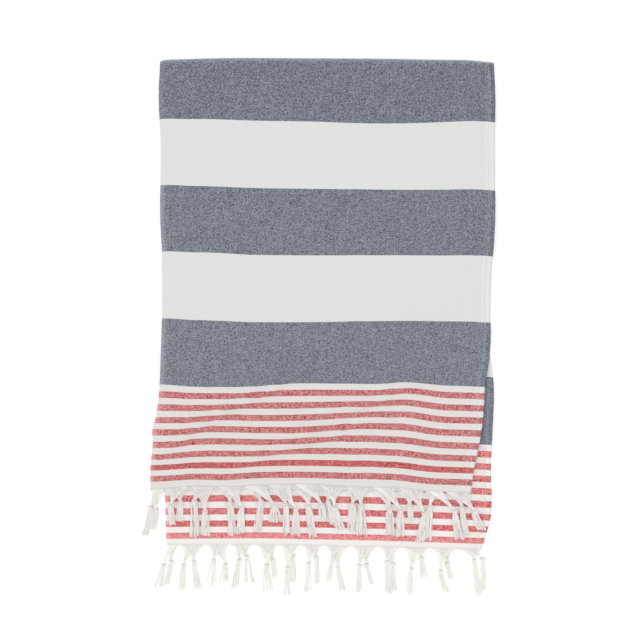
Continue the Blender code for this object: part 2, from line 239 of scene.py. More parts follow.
def woven_end(layer, share):
    """Where a layer of the cloth ends, at a share of the folded width."""
    rows = np.array(WOVEN_ENDS)
    return np.interp(share, rows[:, 0], rows[:, END_COLUMNS.index(layer)]) * MM


def ripple(x, y):
    """Height of the ripples above the flat cloth."""
    total = np.zeros(np.broadcast(x, y).shape)
    for ridge in RIPPLES.values():
        line = curve(ridge, "up", RIPPLE_COLUMNS, x)
        rise = (curve(ridge, "up", RIPPLE_COLUMNS, x + MM) - line) / MM
        away = np.abs(y - line) / np.hypot(1.0, rise)
        height = np.maximum(curve(ridge, "height", RIPPLE_COLUMNS, x), 0.0)
        inside = (x >= ridge[0][0] * MM) & (x <= ridge[-1][0] * MM)
        wave = np.cos(0.5 * math.pi * np.clip(away / RIPPLE_HALF_WIDTH, 0.0, 1.0))
        total = total + inside * height * wave * wave
    return total


def half_pitch(x, fold_x):
    """Half the distance between the layers of one half, swelling at its fold."""
    return blend(LAYER_PITCH / 2, FOLD_RADIUS, 1.0 - smooth((x - fold_x) / FOLD_SWELL))


def back_edge(side, y):
    """The lower half's left or right edge, level with y."""
    from_end = np.maximum(0.0, y - woven_end("back", 1.0))
    return curve(BACK_EDGES, side, EDGE_COLUMNS, from_end)


def back_top(x, y):
    """Middle of the lower half's upper layer, raised over its side hem."""
    pitch = 2 * half_pitch(x, back_edge("left", y))
    into_hem = x - back_edge("right", y) + 1.5 * HEM_WIDTH
    return CLOTH_THICK / 2 + pitch + HEM_LIFT * smooth(into_hem / HEM_WIDTH)


def front_under(x, y):
    """Middle of the upper half's lower layer, sagging where it overhangs."""
    stacked = back_top(x, y) + HALF_GAP
    sunk = CLOTH_THICK / 2 + FLOOR_GAP
    overhang = back_edge("left", y) - 2 * MM - x
    return blend(stacked, sunk, smooth(overhang / SAG_REACH))


def stations(runs):
    """Places from runs of (from, to, steps)."""
    places = [runs[0][0]]
    for start, end, steps in runs:
        places += list(np.linspace(start, end, steps + 1)[1:])
    return np.array(places)


# The cloth's lengthwise lines, from the outer layer's hem round the long fold to
# the inner layer's hem.  "turned" is the angle round that fold.
outer_shares = [0.0, HEM_SHARE / 2, HEM_SHARE, *stations(OUTER_STEPS)]
inner_shares = [*stations(INNER_STEPS), HEM_SHARE, HEM_SHARE / 2, 0.0]
fold_turns = np.linspace(0.0, math.pi, FOLD_STEPS + 1)[1:-1]
share = np.concatenate([outer_shares, np.ones(len(fold_turns)), inner_shares])
turned = np.concatenate(
    [np.zeros(len(outer_shares)), fold_turns, np.full(len(inner_shares), math.pi)]
)
swing = np.cos(turned)          # +1 on the outer layer, -1 on the inner one
outerness = (1.0 + swing) / 2
in_hem = share <= HEM_SHARE
lift = np.where(in_hem, HEM_LIFT, 0.0)


def across(edges, from_end):
    """Places across of all lines, and of the long fold, at a distance from the end."""
    left = curve(edges, "left", EDGE_COLUMNS, from_end) + CLOTH_THICK / 2
    right = curve(edges, "right", EDGE_COLUMNS, from_end)
    return blend(right, left + FOLD_RADIUS, share) - FOLD_RADIUS * np.sin(turned), left


top_x, top_fold_x = across(FRONT_EDGES, FRONT_LENGTH)
top_edge = curve(TOP_EDGE, "top", TOP_COLUMNS, top_x)
top_half = half_pitch(top_x, top_fold_x)
turn_low = CLOTH_THICK / 2 + top_half
turn_high = front_under(top_x, top_edge) + top_half + TOP_SWELL
turn_radius = (turn_high - turn_low) / 2
turn_y = top_edge - turn_radius - top_half - CLOTH_THICK / 2
turn_z = (turn_high + turn_low) / 2

# Walk down the top layer, so that a ripple takes up the length that it needs.
walk_step = (turn_y - woven_end("front_outer", share)) / WALK_STEPS
walked = np.linspace(FRONT_LENGTH, 0.0, WALK_STEPS + 1)
laid = [turn_y]
for from_end in walked[:-1]:
    x, _ = across(FRONT_EDGES, from_end)
    rise = ripple(x, laid[-1] + walk_step / 2) - ripple(x, laid[-1] - walk_step / 2)
    laid.append(laid[-1] - walk_step / np.hypot(1.0, rise / walk_step))
laid = np.array(laid)


def front_row(from_end):
    """All lines' points of the upper half, at a distance from its woven end."""
    x, fold_x = across(FRONT_EDGES, from_end)
    flat_y = blend(woven_end("front_inner", share), turn_y, from_end / FRONT_LENGTH)
    step = np.interp(from_end, walked[::-1], np.arange(WALK_STEPS + 1.0)[::-1])
    before = min(int(step), WALK_STEPS - 1)
    laid_y = blend(laid[before], laid[before + 1], step - before)
    y = blend(flat_y, laid_y, outerness)
    half = half_pitch(x, fold_x)
    middle = front_under(x, y) + half
    middle = middle + TOP_SWELL * smooth((y - turn_y) / TOP_SWELL_REACH + 1.0)
    return x, y, middle + swing * half + ripple(x, y) * outerness + lift


def turn_row(angle):
    """All lines' points of the crosswise fold, by the angle round it."""
    radius = turn_radius + swing * top_half
    y = turn_y + radius * math.sin(angle)
    return top_x, y, turn_z + radius * math.cos(angle) + lift


def back_row(from_end):
    """All lines' points of the lower half, at a distance from its woven end."""
    x, fold_x = across(BACK_EDGES, from_end)
    y = blend(woven_end("back", share), turn_y, from_end / BACK_LENGTH)
    half = half_pitch(x, fold_x)
    return x, y, CLOTH_THICK / 2 + half - swing * half + lift


turn_angles = np.linspace(0.0, math.pi, TURN_STEPS + 1)[1:-1]
rows = [front_row(place * MM) for place in stations(FRONT_STEPS)]
apex = len(rows) + TURN_STEPS // 2 - 1      # the row on the crosswise fold's edge
rows += [turn_row(angle) for angle in turn_angles]
rows += [back_row(place * MM) for place in stations(BACK_STEPS)]
cloth_points = np.array(rows).transpose(0, 2, 1)    # rows, lines, (x, y, z)


def lengths_along(points):
    """How far each point of a line lies from its start, for one line or for many."""
    steps = np.linalg.norm(np.diff(points, axis=0), axis=-1)
    return np.concatenate([0 * steps[:1], np.cumsum(steps, axis=0)])


# The same places on the flat cloth: how far across from the outer layer's hem,
# and how far along from the front's woven end.
along = lengths_along(cloth_points)
front_cloth = along[apex].mean()
back_cloth = (along[-1] - along[apex]).mean()
cloth_length = front_cloth + back_cloth
front_part = along[:apex + 1] / along[apex] * front_cloth
back_part = (along[-1] - along[apex + 1:]) / (along[-1] - along[apex]) * back_cloth
cloth_v = np.vstack([front_part, cloth_length - back_part])
widest = cloth_points[len(stations(FRONT_STEPS)) // 2]
cloth_u = lengths_along(widest)
cloth_width = cloth_u[-1]
long_fold_u = np.interp(math.pi / 2, turned, cloth_u)

# The weft's bow at every point, none at the crosswise fold or beyond it.
bow_across = np.where(turned < math.pi, cloth_points[:, :, 0], -cloth_width)
bows = [curve(WEFT_BOW, band, BOW_COLUMNS, bow_across) for band in BOW_COLUMNS[1:]]
bows = np.array([bows[0], *bows, 0 * bows[0]])
bow_along = np.array([0.0, *BOW_ALONG, front_cloth / MM]) * MM
after = np.clip(np.searchsorted(bow_along, cloth_v), 1, len(bow_along) - 1)
bow_part = np.clip((cloth_v - bow_along[after - 1]) / np.diff(bow_along)[after - 1], 0.0, 1.0)
bow_before = np.take_along_axis(bows, after[None] - 1, axis=0)[0]
bow_after = np.take_along_axis(bows, after[None], axis=0)[0]
bow_kept = 1.0 - smooth((cloth_u - long_fold_u) / BOW_REACH)
weft_v = cloth_v + blend(bow_before, bow_after, bow_part) * bow_kept
weft_v = weft_v + curve(BACK_STRETCH, "shift", STRETCH_COLUMNS, cloth_length - cloth_v)

grid = bmesh.new()
bmesh.ops.create_grid(
    grid, x_segments=len(share) - 1, y_segments=len(rows) - 1, size=1.0, calc_uvs=True
)
for vert, point in zip(grid.verts, cloth_points.reshape(-1, 3)):
    vert.co = point
open_mesh = bpy.data.meshes.new("cloth_open")
grid.to_mesh(open_mesh)
grid.free()
open_cloth = bpy.data.objects.new("cloth_open", open_mesh)
bpy.context.scene.collection.objects.link(open_cloth)
thickness = open_cloth.vertex_groups.new(name="thickness")
numbers = np.arange(len(open_mesh.vertices))
double = in_hem[numbers % len(share)]
thickness.add(numbers[double].tolist(), 1.0, "REPLACE")
thickness.add(numbers[~double].tolist(), CLOTH_THICK / HEM_THICK, "REPLACE")
shell = open_cloth.modifiers.new("thickness", "SOLIDIFY")
shell.thickness = HEM_THICK
shell.offset = 0.0
shell.vertex_group = thickness.name
depsgraph = bpy.context.evaluated_depsgraph_get()
cloth_mesh = bpy.data.meshes.new_from_object(open_cloth.evaluated_get(depsgraph))
cloth_mesh.name = "cloth"
bpy.data.objects.remove(open_cloth)
cloth_mesh.shade_smooth()
cloth = bpy.data.objects.new("striped_cloth", cloth_mesh)
bpy.context.scene.collection.objects.link(cloth)


# The baking square's size in widths and lengths of the cloth, where the cloth
# starts in it, and how far outside the cloth its far rim lies.
BAKE_SIZE = (2.2, 1.06)
BAKE_START = (0.01, 0.02)
BAKE_RIM = 0.004


def lay_out_cloth(mesh, lines):
    """Gives every corner its place on the flat cloth, and its place for baking."""
    corners = np.array([loop.vertex_index for loop in mesh.loops])
    face_of = np.repeat(np.arange(len(mesh.polygons)), [p.loop_total for p in mesh.polygons])
    points = len(cloth_points) * lines
    line, row = corners % points % lines, corners % points // lines
    woven = np.stack([cloth_u[line], weft_v[row, line]], axis=1)
    mesh.uv_layers.new(name="Cloth").data.foreach_set("uv", woven.ravel())
    # The two faces of the cloth side by side, and its rim just outside the first.
    sheet_faces = (len(cloth_points) - 1) * (lines - 1)
    flat = np.stack([cloth_u[line], cloth_v[row, line]], axis=1)
    place = flat / (BAKE_SIZE[0] * cloth_width, BAKE_SIZE[1] * cloth_length) + BAKE_START
    reverse = (face_of >= sheet_faces) & (face_of < 2 * sheet_faces)
    place[reverse, 0] += 0.5
    outward = np.stack([
        (line == lines - 1).astype(float) - (line == 0),
        (row == len(cloth_points) - 1).astype(float) - (row == 0),
    ], axis=1)
    far_rim = (face_of >= 2 * sheet_faces) & (corners >= points)
    place[far_rim] += BAKE_RIM * outward[far_rim]
    mesh.uv_layers.new(name="OFBake").data.foreach_set("uv", place.ravel())


lay_out_cloth(cloth_mesh, len(share))
cloth_mesh.uv_layers.active = cloth_mesh.uv_layers["OFBake"]


def linear(hex_colour):
    """A linear colour from an sRGB hex value."""
    parts = [int(hex_colour[i:i + 2], 16) / 255 for i in (1, 3, 5)]
    parts = [p / 12.92 if p <= 0.04045 else ((p + 0.055) / 1.055) ** 2.4 for p in parts]
    return (*parts, 1.0)


def add_node(tree, kind, inputs, **settings):
    """Adds a node with its settings; each input is a value, a node or its output."""
    made = tree.nodes.new("ShaderNode" + kind)
    for name, value in settings.items():
        setattr(made, name, value)
    for key, value in inputs.items():
        if isinstance(value, bpy.types.Node):
            value = next(output for output in value.outputs if output.enabled)
        if isinstance(value, bpy.types.NodeSocket):
            tree.links.new(value, made.inputs[key])
        else:
            made.inputs[key].default_value = value
    return made


# Bands in mm from each woven end, up to the middle of the cloth.  The rest is
# white, apart from eight narrow red stripes beside the first navy band.
NAVY_BANDS = ((160, 256), (356, 454.5), (557, 660))
RED_START = 10.0 * MM
RED_PITCH = 18.7 * MM
RED_WIDTH = 9.6 * MM
RED_END = 155.0 * MM
WHITE, WHITE_BY_RED, WHITE_HEM = "#E2E3E0", "#E6E2DE", "#E9E9E7"
NAVY_DEEP, NAVY_PALE = "#43485A", "#A1A6AF"
RED_DEEP, RED_PALE = "#9A1C24", "#E7A6A6"
SECOND_RED_PALE = "#E48B8A"     # the second stripe from each end is a deeper red
RED_CONTRAST = 1.5              # the red weft is looser, so more of the warp shows
# The end that lies underneath, in the open, is painted lighter: painted light of the white floor
# shining through it.
OPEN_END = 175.0 * MM
OPEN_END_LIT_WHITE, OPEN_END_LIT_RED_DEEP, OPEN_END_LIT_RED_PALE = "#F6F2EF", "#B01E26", "#FAA8A8"
OPEN_END_LIT_SECOND_RED_PALE = "#F79D9D"
END_STRIPE_PALER = (12.0 * MM, 26.0 * MM)       # its last stripe is paler again
# The real threads lie about 0.6 mm apart, too fine to show from 2.5 m, so the
# flecks where white warp shows between them are drawn about 2 threads wide.
FLECK_WIDE, FLECK_HIGH = 1.1 * MM, 0.7 * MM
CROSSING = 1.5 * MM             # a second lot of flecks, along the threads' slant
SLANT = math.radians(41)
STREAK = (1 / (2.4 * MM), 1 / (70 * MM), 1.0)
CLOUD = 16.0 * MM
FOLD_SHEEN_REACH = (2.0 * MM, 11.0 * MM)       # how far beside a fold it is painted paler, a painted sheen where the cloth turns over
HEM_SHADE_LINE = (3.0 * MM, 5.5 * MM)      # a painted shade line beside the cloth's side, where the hem slopes down
HEM_PALE_STRIP = (6.0 * MM, 14.5 * MM)        # and the paler strip on and beside its seam
RIB_PITCH = 1.6 * MM
# Tone runs from 0, the deep colour, to 1, the pale one.
TONE_START = -0.29
FLECK_TONE, STREAK_TONE, CLOUD_TONE = 0.74, 0.16, 0.12
# The two "over" values are distances in m from the nearer woven end.
DEEPER_OVER, DEEPER = (0.16, 0.62), (-0.07, -0.17)
# Painted sheen: paler beside the long fold and the crosswise fold. Painted shade: a darker line
# beside each side hem.
LONG_FOLD_OVER, LONG_FOLD_TONE = (0.46, 0.58), (0.38, 0.15)
END_FOLD_TONE, HEM_SHADE_TONE, SEAM_TONE, END_STRIPE_PALER_TONE = 0.36, -0.07, 0.09, 0.21


def woven_cotton(name):
    """Flat-woven cotton: matt and a little fuzzy, its coloured stripes flecked
    where the white warp shows between the coloured weft threads."""
    made = bpy.data.materials.new(name)
    made.use_nodes = True
    tree = made.node_tree
    shader = tree.nodes["Principled BSDF"]
    place = add_node(tree, "UVMap", {}, uv_map="Cloth")
    parts = add_node(tree, "SeparateXYZ", {0: place})
    u, v = parts.outputs[0], parts.outputs[1]
    other_end = add_node(tree, "Math", {0: cloth_length, 1: v}, operation="SUBTRACT")
    from_end = add_node(tree, "Math", {0: v, 1: other_end}, operation="MINIMUM")

    is_navy = None
    for start, end in NAVY_BANDS:
        middle, half = (start + end) / 2 * MM, (end - start) / 2 * MM
        band = add_node(
            tree, "Math", {0: from_end, 1: middle, 2: half}, operation="COMPARE"
        )
        if is_navy:
            band = add_node(tree, "Math", {0: is_navy, 1: band}, operation="MAXIMUM")
        is_navy = band
    repeat = add_node(
        tree, "Math", {0: from_end, 1: RED_START, 2: RED_START + RED_PITCH}, operation="WRAP"
    )
    red_middle = RED_START + RED_WIDTH / 2
    is_red = add_node(
        tree, "Math", {0: repeat, 1: red_middle, 2: RED_WIDTH / 2}, operation="COMPARE"
    )
    red_part = add_node(
        tree, "Math",
        {0: from_end, 1: (RED_START + RED_END) / 2, 2: (RED_END - RED_START) / 2},
        operation="COMPARE",
    )
    is_red = add_node(tree, "Math", {0: is_red, 1: red_part}, operation="MULTIPLY")

    flecks = []
    for wide, slant in ((FLECK_WIDE, 0.0), (CROSSING, SLANT)):
        scale = (1 / wide, 1 / FLECK_HIGH, 1.0)
        cell = add_node(
            tree, "Mapping", {"Vector": place, "Rotation": (0, 0, slant), "Scale": scale}
        )
        cell = add_node(tree, "VectorMath", {0: cell}, operation="FLOOR")
        flecks.append(add_node(tree, "TexWhiteNoise", {"Vector": cell}, noise_dimensions="2D"))
    fleck, crossing = flecks
    stretched = add_node(tree, "Mapping", {"Vector": place, "Scale": STREAK})
    streak = add_node(
        tree, "TexNoise", {"Vector": stretched, "Scale": 1.0, "Detail": 2.0},
        noise_dimensions="2D",
    )
    cloud = add_node(
        tree, "TexNoise", {"Vector": place, "Scale": 1 / CLOUD, "Detail": 3.0},
        noise_dimensions="2D",
    )

    # How pale each place is: its flecks, then streaks and clouds of the dye.
    tone = TONE_START
    for pattern, strength in (
        (fleck, FLECK_TONE), (crossing, FLECK_TONE), (streak, STREAK_TONE), (cloud, CLOUD_TONE)
    ):
        tone = add_node(
            tree, "Math", {0: pattern, 1: strength, 2: tone}, operation="MULTIPLY_ADD"
        )
    deeper, long_fold_sheen = (
        add_node(
            tree, "MapRange",
            {"Value": from_end, "From Min": start, "From Max": end, "To Min": low, "To Max": high},
        )
        for (start, end), (low, high) in ((DEEPER_OVER, DEEPER), (LONG_FOLD_OVER, LONG_FOLD_TONE))
    )
    # Painted sheen along both folds, paler towards each fold's edge.
    painted_sheen_and_hem_strips = []
    for direction, fold, sheen_tone in ((u, long_fold_u, long_fold_sheen), (v, front_cloth, END_FOLD_TONE)):
        to_fold = add_node(tree, "Math", {0: direction, 1: fold}, operation="SUBTRACT")
        to_fold = add_node(tree, "Math", {0: to_fold}, operation="ABSOLUTE")
        painted_sheen_and_hem_strips.append(add_node(
            tree, "MapRange",
            {"Value": to_fold, "From Min": FOLD_SHEEN_REACH[0], "From Max": FOLD_SHEEN_REACH[1],
             "To Min": sheen_tone, "To Max": 0.0},
            interpolation_type="SMOOTHERSTEP",
        ))
    other_side = add_node(tree, "Math", {0: cloth_width, 1: u}, operation="SUBTRACT")
    to_side = add_node(tree, "Math", {0: u, 1: other_side}, operation="MINIMUM")
    # A painted shade line beside each side of the cloth, and a paler strip on and beside its seam.
    for (start, end), change in ((HEM_SHADE_LINE, HEM_SHADE_TONE), (HEM_PALE_STRIP, SEAM_TONE)):
        strip = add_node(
            tree, "Math", {0: to_side, 1: (start + end) / 2, 2: (end - start) / 2},
            operation="COMPARE",
        )
        painted_sheen_and_hem_strips.append(add_node(tree, "Math", {0: strip, 1: change}, operation="MULTIPLY"))
    end_stripe_paler = add_node(
        tree, "MapRange",
        {"Value": other_end, "From Min": END_STRIPE_PALER[0], "From Max": END_STRIPE_PALER[1],
         "To Min": END_STRIPE_PALER_TONE, "To Max": 0.0},
    )
    for change in (deeper, *painted_sheen_and_hem_strips, end_stripe_paler):
        tone = add_node(tree, "Math", {0: tone, 1: change}, operation="ADD")
    tone = add_node(tree, "Clamp", {0: tone})

    # The whites and reds of the two ends differ a little: the lower half's end carries painted
    # light.
    lit_open_end = add_node(tree, "Math", {0: other_end, 1: OPEN_END}, operation="LESS_THAN")
    by_red = add_node(tree, "Math", {0: from_end, 1: RED_END}, operation="LESS_THAN")
    by_hem = add_node(tree, "Math", {0: to_side, 1: HEM_PALE_STRIP[1]}, operation="LESS_THAN")
    whites = linear(WHITE)
    for where, shade in ((by_red, WHITE_BY_RED), (by_hem, WHITE_HEM), (lit_open_end, OPEN_END_LIT_WHITE)):
        whites = add_node(
            tree, "Mix", {0: where, 6: whites, 7: linear(shade)}, data_type="RGBA"
        )
    navy = add_node(
        tree, "Mix", {0: tone, 6: linear(NAVY_DEEP), 7: linear(NAVY_PALE)}, data_type="RGBA"
    )
    red_deep, red_pale, second_pale = (
        add_node(tree, "Mix", {0: lit_open_end, 6: linear(top), 7: linear(below)}, data_type="RGBA")
        for top, below in (
            (RED_DEEP, OPEN_END_LIT_RED_DEEP), (RED_PALE, OPEN_END_LIT_RED_PALE),
            (SECOND_RED_PALE, OPEN_END_LIT_SECOND_RED_PALE),
        )
    )
    is_second = add_node(
        tree, "Math", {0: from_end, 1: red_middle + RED_PITCH, 2: RED_WIDTH},
        operation="COMPARE",
    )
    red_pale = add_node(
        tree, "Mix", {0: is_second, 6: red_pale, 7: second_pale}, data_type="RGBA"
    )
    red_tone = add_node(
        tree, "Math", {0: tone, 1: RED_CONTRAST, 2: 0.5 - 0.5 * RED_CONTRAST},
        operation="MULTIPLY_ADD", use_clamp=True,
    )
    red = add_node(tree, "Mix", {0: red_tone, 6: red_deep, 7: red_pale}, data_type="RGBA")
    colour = add_node(tree, "Mix", {0: is_navy, 6: whites, 7: navy}, data_type="RGBA")
    colour = add_node(tree, "Mix", {0: is_red, 6: colour, 7: red}, data_type="RGBA")
    tree.links.new(colour.outputs[2], shader.inputs["Base Color"])

    turn = 2 * math.pi / RIB_PITCH
    ribs = []
    for direction in (u, v):
        rib = add_node(tree, "Math", {0: direction, 1: turn}, operation="MULTIPLY")
        ribs.append(add_node(tree, "Math", {0: rib}, operation="SINE"))
    weave = add_node(tree, "Math", {0: ribs[0], 1: ribs[1], 2: fleck}, operation="MULTIPLY_ADD")
    bump = add_node(tree, "Bump", {"Strength": 0.12, "Distance": 0.2 * MM, "Height": weave})
    rough = add_node(tree, "Math", {0: tone, 1: 0.1, 2: 0.84}, operation="MULTIPLY_ADD")
    tree.links.new(bump.outputs[0], shader.inputs["Normal"])
    tree.links.new(rough.outputs[0], shader.inputs["Roughness"])
    shader.inputs["Specular IOR Level"].default_value = 0.25
    shader.inputs["Sheen Weight"].default_value = 0.25
    shader.inputs["Sheen Roughness"].default_value = 0.5
    return made


cloth_mesh.materials.clear()
cloth_mesh.materials.append(woven_cotton("flat-woven striped cotton"))
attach(cloth, "root")
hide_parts("towel_cloth")

# ---- Hem stitching --------------------------------------------------------------
# A row of white cotton lockstitches holds each side hem, through both its cloths,
# so it shows on both faces, close to the hem's inner edge.

STITCH_PITCH = 3.0 * MM
STITCH_LENGTH = 2.3 * MM
STITCH_RADIUS = 0.22 * MM
STITCH_IN = 9.0 * MM            # from the side of the cloth
STITCH_POINTS = 5
STITCH_SINK = 0.5 * MM          # how far its two ends go into the cloth
STITCH_START = 2.0 * MM         # from the woven end
THREAD_UNIT = 10.0 * MM         # of a thread's length, to one unit of its own map
TWIST_PITCH = 2.4 * MM
ANY_SIDE = (0.31, 0.17, 0.94)   # a direction that no thread runs along
# Each thread's cell in the baking square: how many lie side by side, the shares of
# the cell that its walls cover, and the places and sizes of its two end faces.
CELL_COLUMNS = 8
CELL_WALLS = ((0.04, 0.90), (0.08, 0.92))
CELL_CAPS, CAP_SIZE = (0.015, 0.975), (0.01, 0.4)


def sweep(paths, radii, sides):
    """Points and faces of thin round threads, one along each path."""
    count, length, _ = paths.shape
    ahead = np.gradient(paths, axis=1)
    ahead /= np.linalg.norm(ahead, axis=2, keepdims=True)
    side = np.cross(ahead[:, 0], ANY_SIDE)
    turn = 2 * math.pi * np.arange(sides) / sides
    rings = []
    for step in range(length):
        along_path = ahead[:, step]
        side = side - along_path * np.sum(side * along_path, axis=1, keepdims=True)
        side /= np.linalg.norm(side, axis=1, keepdims=True)
        up = np.cross(along_path, side)
        out = (
            side[:, None] * np.cos(turn)[None, :, None]
            + up[:, None] * np.sin(turn)[None, :, None]
        )
        rings.append(paths[:, step, None] + out * radii[:, step, None, None])
    points = np.stack(rings, axis=1)
    number = np.arange(points.size // 3).reshape(count, length, sides)
    after = np.roll(number, -1, axis=2)
    walls = np.stack(
        [number[:, :-1], after[:, :-1], after[:, 1:], number[:, 1:]], axis=-1
    ).reshape(-1, 4)
    caps = np.concatenate([number[:, 0, ::-1], number[:, -1]])
    return points.reshape(-1, 3), walls, caps


def thread_object(name, bundles, finishes):
    """One piece from bundles of (paths, radii, sides, finish), laid out for baking too."""
    points, faces, flat, baked, finish_numbers = [], [], [], [], []
    total = sum(len(bundle[0]) for bundle in bundles)
    rows_needed = math.ceil(total / CELL_COLUMNS)
    started = first = 0
    for paths, radii, sides, finish in bundles:
        found, walls, caps = sweep(paths, radii, sides)
        count, length = paths.shape[:2]
        points.append(found)
        faces += (walls + first).tolist() + (caps + first).tolist()
        finish_numbers += [finish] * (len(walls) + len(caps))
        # Walls come strand by strand, ring by ring, side by side.
        strand, ring, edge = np.meshgrid(
            np.arange(count), np.arange(length - 1), np.arange(sides), indexing="ij"
        )
        corner_ring = np.stack([ring, ring, ring + 1, ring + 1], axis=-1).reshape(-1)
        corner_edge = np.stack([edge, edge + 1, edge + 1, edge], axis=-1).reshape(-1)
        corner_strand = np.repeat(strand.reshape(-1), 4)
        cap_edge = np.tile(np.arange(sides), 2 * count)
        cap_ring = np.repeat([0, length - 1], count * sides)
        cap_strand = np.tile(np.repeat(np.arange(count), sides), 2)
        ring_all = np.concatenate([corner_ring, cap_ring])
        edge_all = np.concatenate([corner_edge, cap_edge])
        strand_all = np.concatenate([corner_strand, cap_strand])
        run = lengths_along(paths.transpose(1, 0, 2)).T
        number = strand_all + started
        flat.append(np.stack(
            [number + 0.5 * edge_all / sides, run[strand_all, ring_all] / THREAD_UNIT], axis=1
        ))
        is_cap = np.arange(len(ring_all)) >= len(corner_ring)
        cap_turn = 2 * math.pi * edge_all / sides
        ring_place = blend(*CELL_WALLS[0], ring_all / (length - 1))
        edge_place = blend(*CELL_WALLS[1], edge_all / sides)
        end_place = np.where(ring_all > 0, CELL_CAPS[1], CELL_CAPS[0])
        across_row = np.where(is_cap, end_place + CAP_SIZE[0] * np.cos(cap_turn), ring_place)
        up_row = np.where(is_cap, 0.5 + CAP_SIZE[1] * np.sin(cap_turn), edge_place)
        baked.append(np.stack([
            (number % CELL_COLUMNS + across_row) / CELL_COLUMNS,
            (number // CELL_COLUMNS + up_row) / rows_needed,
        ], axis=1))
        first += len(found)
        started += count
    mesh = bpy.data.meshes.new(name)
    mesh.from_pydata(np.concatenate(points), [], faces)
    mesh.uv_layers.new(name="Thread").data.foreach_set("uv", np.concatenate(flat).ravel())
    mesh.uv_layers.new(name="OFBake").data.foreach_set("uv", np.concatenate(baked).ravel())
    mesh.uv_layers.active = mesh.uv_layers["OFBake"]
    mesh.shade_flat()           # smooth shading darkens threads of so few sides
    for finish in finishes:
        mesh.materials.append(finish)
    mesh.polygons.foreach_set("material_index", finish_numbers)
    made = bpy.data.objects.new(name, mesh)
    bpy.context.scene.collection.objects.link(made)
    return made


SEWING_PALE, SEWING_SHADE = "#D3D6DB", "#BFC4CC"


def spun_cotton(name, pale, shaded):
    """Spun cotton yarn: matt white, each thread a tone of its own, with the slanting
    lines of its twist as bumps and as painted shade and light in its colour."""
    made = bpy.data.materials.new(name)
    made.use_nodes = True
    tree = made.node_tree
    shader = tree.nodes["Principled BSDF"]
    place = add_node(tree, "UVMap", {}, uv_map="Thread")
    parts = add_node(tree, "SeparateXYZ", {0: place})
    strand = add_node(tree, "Math", {0: parts.outputs[0]}, operation="FLOOR")
    angle = add_node(tree, "Math", {0: parts.outputs[0]}, operation="FRACT")
    own = add_node(tree, "TexWhiteNoise", {"W": strand}, noise_dimensions="1D")
    turns = add_node(
        tree, "Math", {0: parts.outputs[1], 1: THREAD_UNIT / TWIST_PITCH}, operation="MULTIPLY"
    )
    turns = add_node(tree, "Math", {0: angle, 1: 2.0, 2: turns}, operation="MULTIPLY_ADD")
    radians = add_node(tree, "Math", {0: turns, 1: 2 * math.pi}, operation="MULTIPLY")
    twist = add_node(tree, "Math", {0: radians}, operation="SINE")
    # The twist darkens and lightens the colour too: painted shade in its grooves, painted light on
    # its ridges.
    tone = add_node(
        tree, "Math", {0: twist, 1: 0.12, 2: own}, operation="MULTIPLY_ADD", use_clamp=True
    )
    colour = add_node(
        tree, "Mix", {0: tone, 6: linear(shaded), 7: linear(pale)}, data_type="RGBA"
    )
    bump = add_node(tree, "Bump", {"Strength": 0.2, "Distance": 0.1 * MM, "Height": twist})
    rough = add_node(tree, "Math", {0: own, 1: 0.08, 2: 0.86}, operation="MULTIPLY_ADD")
    tree.links.new(colour.outputs[2], shader.inputs["Base Color"])
    tree.links.new(bump.outputs[0], shader.inputs["Normal"])
    tree.links.new(rough.outputs[0], shader.inputs["Roughness"])
    shader.inputs["Specular IOR Level"].default_value = 0.2
    shader.inputs["Sheen Weight"].default_value = 0.2
    shader.inputs["Sheen Roughness"].default_value = 0.5
    return made


def cloth_line_at(distance):
    """The folded cloth's middle along a line at a distance across, with its normals."""
    line = int(np.clip(np.searchsorted(cloth_u, distance), 1, len(cloth_u) - 1))
    part = (distance - cloth_u[line - 1]) / (cloth_u[line] - cloth_u[line - 1])
    points = blend(cloth_points[:, line - 1], cloth_points[:, line], part)
    sideways = cloth_points[:, line] - cloth_points[:, line - 1]
    normals = np.cross(sideways, np.gradient(points, axis=0))
    return points, normals / np.linalg.norm(normals, axis=1, keepdims=True)


stitch_paths = []
for distance in (STITCH_IN, cloth_width - STITCH_IN):
    middle, normals = cloth_line_at(distance)
    walked_along = lengths_along(middle)
    starts = np.arange(STITCH_START, walked_along[-1] - STITCH_PITCH, STITCH_PITCH)
    places = starts[:, None] + np.linspace(0.0, STITCH_LENGTH, STITCH_POINTS)[None, :]
    sunk = np.linspace(-1.0, 1.0, STITCH_POINTS) ** 4 * STITCH_SINK
    for face in (-1.0, 1.0):
        raised = HEM_THICK / 2 + 0.5 * STITCH_RADIUS - sunk
        path = np.stack([
            np.interp(places, walked_along, middle[:, axis])
            + face * raised * np.interp(places, walked_along, normals[:, axis])
            for axis in range(3)
        ], axis=-1)
        path[..., 2] = np.maximum(path[..., 2], STITCH_RADIUS)
        stitch_paths.append(path)
stitch_paths = np.concatenate(stitch_paths)
stitch_radii = np.full(stitch_paths.shape[:2], STITCH_RADIUS)
sewing_cotton = spun_cotton("twisted sewing cotton", SEWING_PALE, SEWING_SHADE)
stitches = thread_object(
    "hem_stitches", [(stitch_paths, stitch_radii, 4, 0)], [sewing_cotton]
)
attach(stitches, "root")

# ---- Fringes --------------------------------------------------------------------
# The warp threads run on past the last weft at both ends.  They are gathered in
# bunches, each tied in an overhand knot, and the rest hangs loose as a tassel.
# A bunch fans out from its knot to the width of cloth that it comes from.

